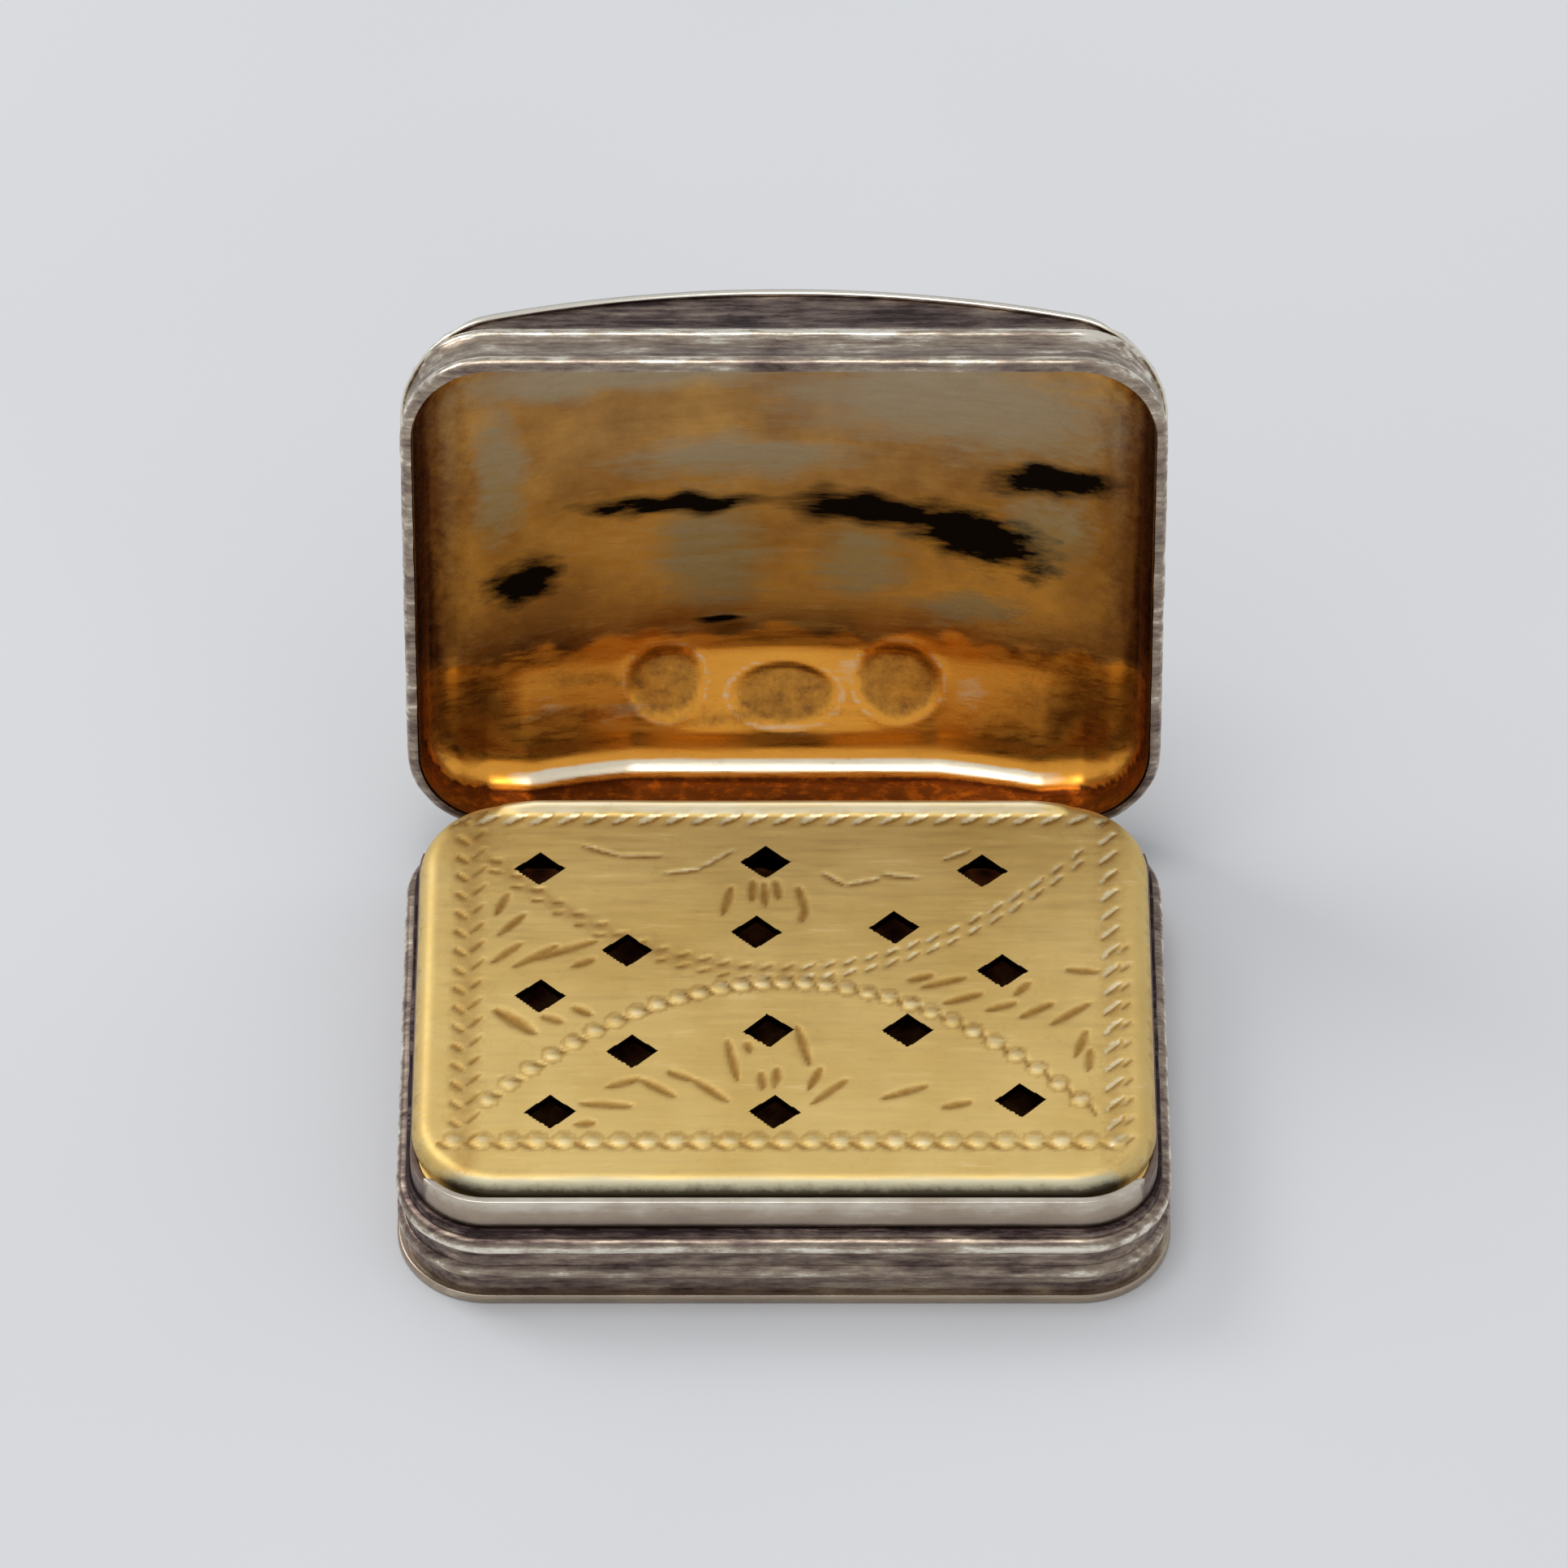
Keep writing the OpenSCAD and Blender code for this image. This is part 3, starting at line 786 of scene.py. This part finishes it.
def fresh(p):
    """Unrubbed gold by the hinge, painted bright orange there also as the reflection of the gilt grille, with
    a ragged front.
    """
    return clamp((p.y - FRESH_AND_SHEEN_FROM + noise.noise(p / 1.1) * 0.7) / 0.8)


def brown(p, drop):
    """Browner in the fillets at both ends, on the hinge wall and in patches, and painted shade in the dents.
    """
    ends = 0.7 * clamp((abs(p.x) - SHADE_FROM - 0.8 * (p.y > FRESH_AND_SHEEN_FROM)) / SHADE_WIDTH)
    hinge_wall = 0.85 if p.y > 0 and drop > 0.6 * FILLET else 0.0
    # Painted shade inside the dents
    dents = 0.5 * clamp(dented(p) / 0.2)
    return max(ends, hinge_wall, dents, 0.38 * smudge(p, BROWN))


def burnished(p, drop):
    """Painted highlights: the bright line along the fillet by the hinge, the bright rims of the dents and
    glints between.
    """
    ends = clamp((LINE_END - abs(p.x)) / LINE_FADE)
    # Painted highlight along the fillet by the hinge
    line = 0.85 * ends if p.y > 0 and 0.2 * FILLET < drop < 0.5 * FILLET else 0.0
    # Painted highlight on the rims of the dents
    rims = 0.35 * clamp(1.3 - abs(dented(p) + 0.08) / 0.1)
    return max(line, rims, 0.33 * smudge(p, GLINTS))


set_marks(lining_mesh, "stain", [smudge(p, STAINS, edge=1.3) for p in lining_points])
set_marks(lining_mesh, "worn", [0.9 * smudge(p, BARE) for p in lining_points])
set_marks(lining_mesh, "burnished", [burnished(p, drop) for p, drop in zip(lining_points, lining_drops)])
set_marks(lining_mesh, "fresh", [fresh(p) for p in lining_points])
set_marks(lining_mesh, "shade", [brown(p, drop) for p, drop in zip(lining_points, lining_drops)])
lining_piece = place(lining_mesh, "gilt_lining", lid_gilding, "lid_body", "gilt")
thickness = lining_piece.modifiers.new("sheet", "SOLIDIFY")
thickness.thickness = LINING_SHEET * MM
thickness.offset = -1.0

# %% [markdown]
# ## The reeded bands
# Each band was drawn through a die that gave it two reeds, bent round a former and soldered at one corner.
# The sweep repeats that: the profile of the band runs along each straight side and is spun round each
# corner. Wear then takes the reeds down here and there, and every point gets its crest mark. The plain faces
# above the reeds are dark.

# %% Sweeping a profile round the box
BAND_STEP = 0.25
CORNER_STEPS = 14


def swept_band(profile):
    """Runs a closed profile of (outward, up) points round the outline that base and lid share."""
    half_x, half_y, radius = LID_HALF_X, LID_HALF_Y, LID_CORNER
    bm = bmesh.new()
    ring = [bm.verts.new((half_x + out, radius - half_y, up)) for out, up in profile]
    geom = ring + [bm.edges.new((ring[i], ring[i - 1])) for i in range(len(ring))]
    for quarter in range(4):
        direction = Matrix.Rotation(quarter * math.pi / 2, 3, "Z") @ Vector((0, 1, 0))
        length = 2 * (half_y - radius) if quarter % 2 == 0 else 2 * (half_x - radius)
        steps = round(length / BAND_STEP)
        geom = bmesh.ops.spin(bm, geom=geom, cent=(0, 0, 0), axis=(0, 0, 1), angle=0, steps=steps,
                              dvec=direction * (length / steps))["geom_last"]
        sign_x = (1, -1, -1, 1)[quarter]
        sign_y = (1, 1, -1, -1)[quarter]
        geom = bmesh.ops.spin(bm, geom=geom, cent=(sign_x * (half_x - radius), sign_y * (half_y - radius), 0),
                              axis=(0, 0, 1), angle=math.pi / 2, steps=CORNER_STEPS)["geom_last"]
    bmesh.ops.remove_doubles(bm, verts=bm.verts, dist=0.001)
    bmesh.ops.recalc_face_normals(bm, faces=bm.faces)
    bm.normal_update()
    return bm


def reed(out, up, radius, start, end, count=9):
    """The outer round of a reed, from one angle to another."""
    turns = [math.radians(start + (end - start) * i / (count - 1)) for i in range(count)]
    return [(out + radius * math.cos(t), up + radius * math.sin(t)) for t in turns]


def wear(bm, amount):
    """Takes metal off outward-facing points in soft patches."""
    for v in bm.verts:
        outward = Vector((v.normal.x, v.normal.y, 0))
        rub = 0.5 + 0.5 * noise.noise(v.co * 0.9) + 0.35 * noise.noise(v.co * 3.1)
        v.co -= outward * max(0.0, rub) * amount


def crest_marks(verts, groove, wall_from, wall, low_below, low_share):
    """How proud of its grooves each point stands; plain faces above wall_from all get the wall's mark."""
    marks = []
    for v in verts:
        far = past_edge(v.co.x, v.co.y, LID_HALF_X, LID_HALF_Y, LID_CORNER)[0]
        share = low_share if v.co.z < low_below else 1.0
        proud = share * (groove + (1 - groove) * clamp((far + 0.13) / 0.09))
        marks.append(proud if v.co.z < wall_from else wall)
    return marks


# %% Base band
REED = 0.3
BASE_TOP = 3.2
LOW_REED = 1.35
HIGH_REED = 2.55
BASE_WEAR = 0.05
TUBE_ROOM = 0.63
NOTCH_HALF = 11.0
NOTCH_UP = 1.5
profile = [(-0.5, 0.35), (-0.2, 0.35), (-0.2, 0.8)] + reed(-REED, LOW_REED, REED, -70, 70) + [(-0.2, 1.9)]
profile += reed(-REED, HIGH_REED, REED, -70, 90)
profile += [(-0.32, BASE_TOP - 0.03), (-0.36, BASE_TOP), (-0.5, BASE_TOP), (-0.5, 1.8)]
bm = swept_band(profile)
wear(bm, BASE_WEAR)
reamer = bmesh.new()
bmesh.ops.create_cone(reamer, cap_ends=True, segments=48, radius1=TUBE_ROOM, radius2=TUBE_ROOM,
                      depth=2 * NOTCH_HALF)
bmesh.ops.rotate(reamer, cent=(0, 0, 0), matrix=Matrix.Rotation(math.pi / 2, 3, "Y"), verts=reamer.verts)
bmesh.ops.translate(reamer, vec=(0, PIN_Y, PIN_Z), verts=reamer.verts)
for v in reamer.verts:
    if v.co.z > PIN_Z + 0.01:
        v.co.z += NOTCH_UP
base_mesh = cut_away(to_mesh(bm, "base_band"), reamer)
base_marks = crest_marks(base_mesh.vertices, groove=0.15, wall_from=BASE_TOP - 0.34, wall=-0.75,
                         low_below=1.9, low_share=0.5)
set_marks(base_mesh, "crest", base_marks)
base_mesh.transform(Matrix.Scale(MM, 4))
place(base_mesh, "reeded_base", band_silver, "base_body", "silver", "base_band")
base_mesh.set_sharp_from_angle(angle=math.radians(50))

# %% Lid band
NOMINAL_TOP = 7.0
STEADY = 5.6
LID_WEAR = 0.04
profile = [(-LID_WALL, LID_RIM), (-REED, LID_RIM)] + reed(-REED, LID_RIM + REED, REED, -90, 45)
profile += reed(-REED, LID_RIM + 2.0, REED, -45, 45)
profile += [(-0.1, STEADY), (-0.1, 6.0), (-0.1, 6.5), (-0.1, NOMINAL_TOP)]
profile += [(-LID_WALL, NOMINAL_TOP), (-LID_WALL, STEADY)]
bm = swept_band(profile)
wear(bm, LID_WEAR)
for v in bm.verts:
    top = arch(v.co.x, LID_SHEET - 0.02)
    if v.co.z > STEADY:
        v.co.z = STEADY + (v.co.z - STEADY) / (NOMINAL_TOP - STEADY) * (top - STEADY)
    v.co.z = min(v.co.z, top)
lid_marks = crest_marks(bm.verts, groove=0.45, wall_from=LID_RIM + 2.3, wall=-0.3,
                        low_below=LID_RIM + 0.8, low_share=0.6)
open_lid(bm)
lid_mesh = to_mesh(bm, "lid_band")
set_marks(lid_mesh, "crest", lid_marks)
place(lid_mesh, "reeded_lid", band_silver, "lid_body", "silver", "lid_band")
lid_mesh.set_sharp_from_angle(angle=math.radians(50))

# %% [markdown]
# ## Bezel, hinge and bottom plate
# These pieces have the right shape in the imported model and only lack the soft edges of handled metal, which
# is where the light catches. A copy of each gets its doubles merged and its sharp edges bevelled by about a
# tenth of a millimetre or less. The bezel is bright only along its top.

# %% Softened copies
def bevel(bm, edges, width, segments):
    """Rounds some edges over."""
    bmesh.ops.bevel(bm, geom=edges, offset=width, offset_type="OFFSET", affect="EDGES", segments=segments,
                    profile=0.5, clamp_overlap=True, material=-1)


def softened(node, name, finish, body, slot, width, bright_from=1.0, bright=1.0, dull=0.0):
    """A copy of a CAD node with its sharp edges rounded, and polished brighter above a height."""
    bm = bmesh.new()
    bm.from_mesh(bpy.data.objects[node].data)
    bmesh.ops.remove_doubles(bm, verts=bm.verts, dist=0.002 * MM)
    bmesh.ops.dissolve_limit(bm, angle_limit=math.radians(2), verts=bm.verts, edges=bm.edges)
    sharp = [e for e in bm.edges if e.is_manifold and e.calc_face_angle() > math.radians(40)]
    bevel(bm, sharp, width * MM, 3)
    bmesh.ops.remove_doubles(bm, verts=bm.verts, dist=0.0005 * MM)
    mesh = to_mesh(bm, name)
    set_marks(mesh, "crest", [bright if v.co.z > bright_from else dull for v in mesh.vertices])
    place(mesh, name, finish, body, slot, node)
    mesh.set_sharp_from_angle(angle=math.radians(35))


softened("base_plate", "bottom_plate", plate_silver, "base_body", "silver", 0.09,
         bright_from=-1.0, bright=0.3)
softened("bezel", "upright_bezel", plate_silver, "base_body", "gilt", 0.05,
         bright_from=4.36 * MM, bright=0.6, dull=-0.3)
softened("grille_ledge", "inner_ledge", grille_gilding, "base_body", "gilt", 0.04)
for side in ("left", "middle", "right"):
    softened("base_tube_" + side, "hinge_tube_base_" + side, plate_silver, "base_body", "silver", 0.05)
for side in ("left", "right"):
    softened("lid_tube_" + side, "hinge_tube_lid_" + side, plate_silver, "lid_body", "silver", 0.05)
    softened("grille_tube_" + side, "hinge_tube_grille_" + side, grille_gilding, "grille_body", "gilt", 0.05)
    softened("hinge_plug_" + side, "hinge_cap_" + side, plate_silver, "base_body", "silver", 0.12)
softened("hinge_pin", "turned_pin", plate_silver, "base_body", "silver", 0.04)

# %% [markdown]
# ## The sponge
# Under the grille lies a slip of natural sponge for the vinegar. It shows only as brown depth through the
# lozenges and when the grille is lifted. It is a soft pad with a crowned top, full of small holes, so a
# rounded block is remeshed evenly and its skin pushed in by a fine noise.

# %% Sponge finish
PORES = [(0.1, "#4a2412"), (0.5, "#9a5c2c"), (0.9, "#c69052")]
sponge_finish, tree, shader, coords = new_material("natural sponge, dry and vinegar-stained")
pores = add(tree, "TexVoronoi", {"Scale": 1 / (0.7 * MM)}, {"Vector": (coords, "Object")})
clouds = clouding(tree, coords, 3 * MM, 4.0)
tone = add(tree, "ValToRGB", {"stops": PORES}, {"Fac": (pores, "Distance")})
dark = add(tree, "Mix", {"data_type": "RGBA", "blend_type": "MULTIPLY", 0: 0.6},
           {6: (tone, "Color"), 7: clouds})
holes = add(tree, "Bump", {"Strength": 0.8, "Distance": 0.3 * MM}, {"Height": (pores, "Distance")})
tree.links.new(dark.outputs[2], shader.inputs["Base Color"])
tree.links.new(holes.outputs["Normal"], shader.inputs["Normal"])
shader.inputs["Roughness"].default_value = 0.95
print("sponge is", sponge_finish.name)

# %% Sponge pad
SPONGE_SHRINK = 0.97
SPONGE_CORNER = 1.9 * MM
SPONGE_EDGE = 0.5 * MM
SPONGE_GRID = 0.2 * MM
SPONGE_UPPER = 1.5 * MM
PORE_SIZE = 0.55 * MM
PORE_DEPTH = 0.25 * MM
CROWN = 0.25 * MM
CROWN_TURN = 1.4
low, high = (Vector(corner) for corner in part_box("sponge"))
bm = bmesh.new()
bmesh.ops.create_cube(bm, size=1.0)
bmesh.ops.scale(bm, vec=(high - low) * SPONGE_SHRINK, verts=bm.verts)
upright = [e for e in bm.edges if abs(e.verts[0].co.z - e.verts[1].co.z) > 1 * MM]
bevel(bm, upright, SPONGE_CORNER, 6)
rims = [e for e in bm.edges if e.is_manifold and e.calc_face_angle() > math.radians(60)]
bevel(bm, rims, SPONGE_EDGE, 4)
bmesh.ops.translate(bm, vec=(low + high) / 2, verts=bm.verts)
blank = bpy.data.objects.new("blank", to_mesh(bm, "sponge_pad"))
bpy.context.scene.collection.objects.link(blank)
even = blank.modifiers.new("even", "REMESH")
even.mode = "VOXEL"
even.voxel_size = SPONGE_GRID
sponge_mesh = bpy.data.meshes.new_from_object(blank.evaluated_get(bpy.context.evaluated_depsgraph_get()))
bpy.data.objects.remove(blank)
bm = bmesh.new()
bm.from_mesh(sponge_mesh)
bm.normal_update()
for v in bm.verts:
    if v.co.z > SPONGE_UPPER:
        crown = math.cos(v.co.x / high.x * CROWN_TURN) * math.cos(v.co.y / high.y * CROWN_TURN)
        v.co.z -= (1 - crown) * CROWN
    v.co -= v.normal * max(0.0, noise.noise(v.co / PORE_SIZE) + 0.1) * PORE_DEPTH
bm.to_mesh(sponge_mesh)
bm.free()
sponge_piece = place(sponge_mesh, "sponge_pad", sponge_finish, "base_body", "sponge", "sponge")
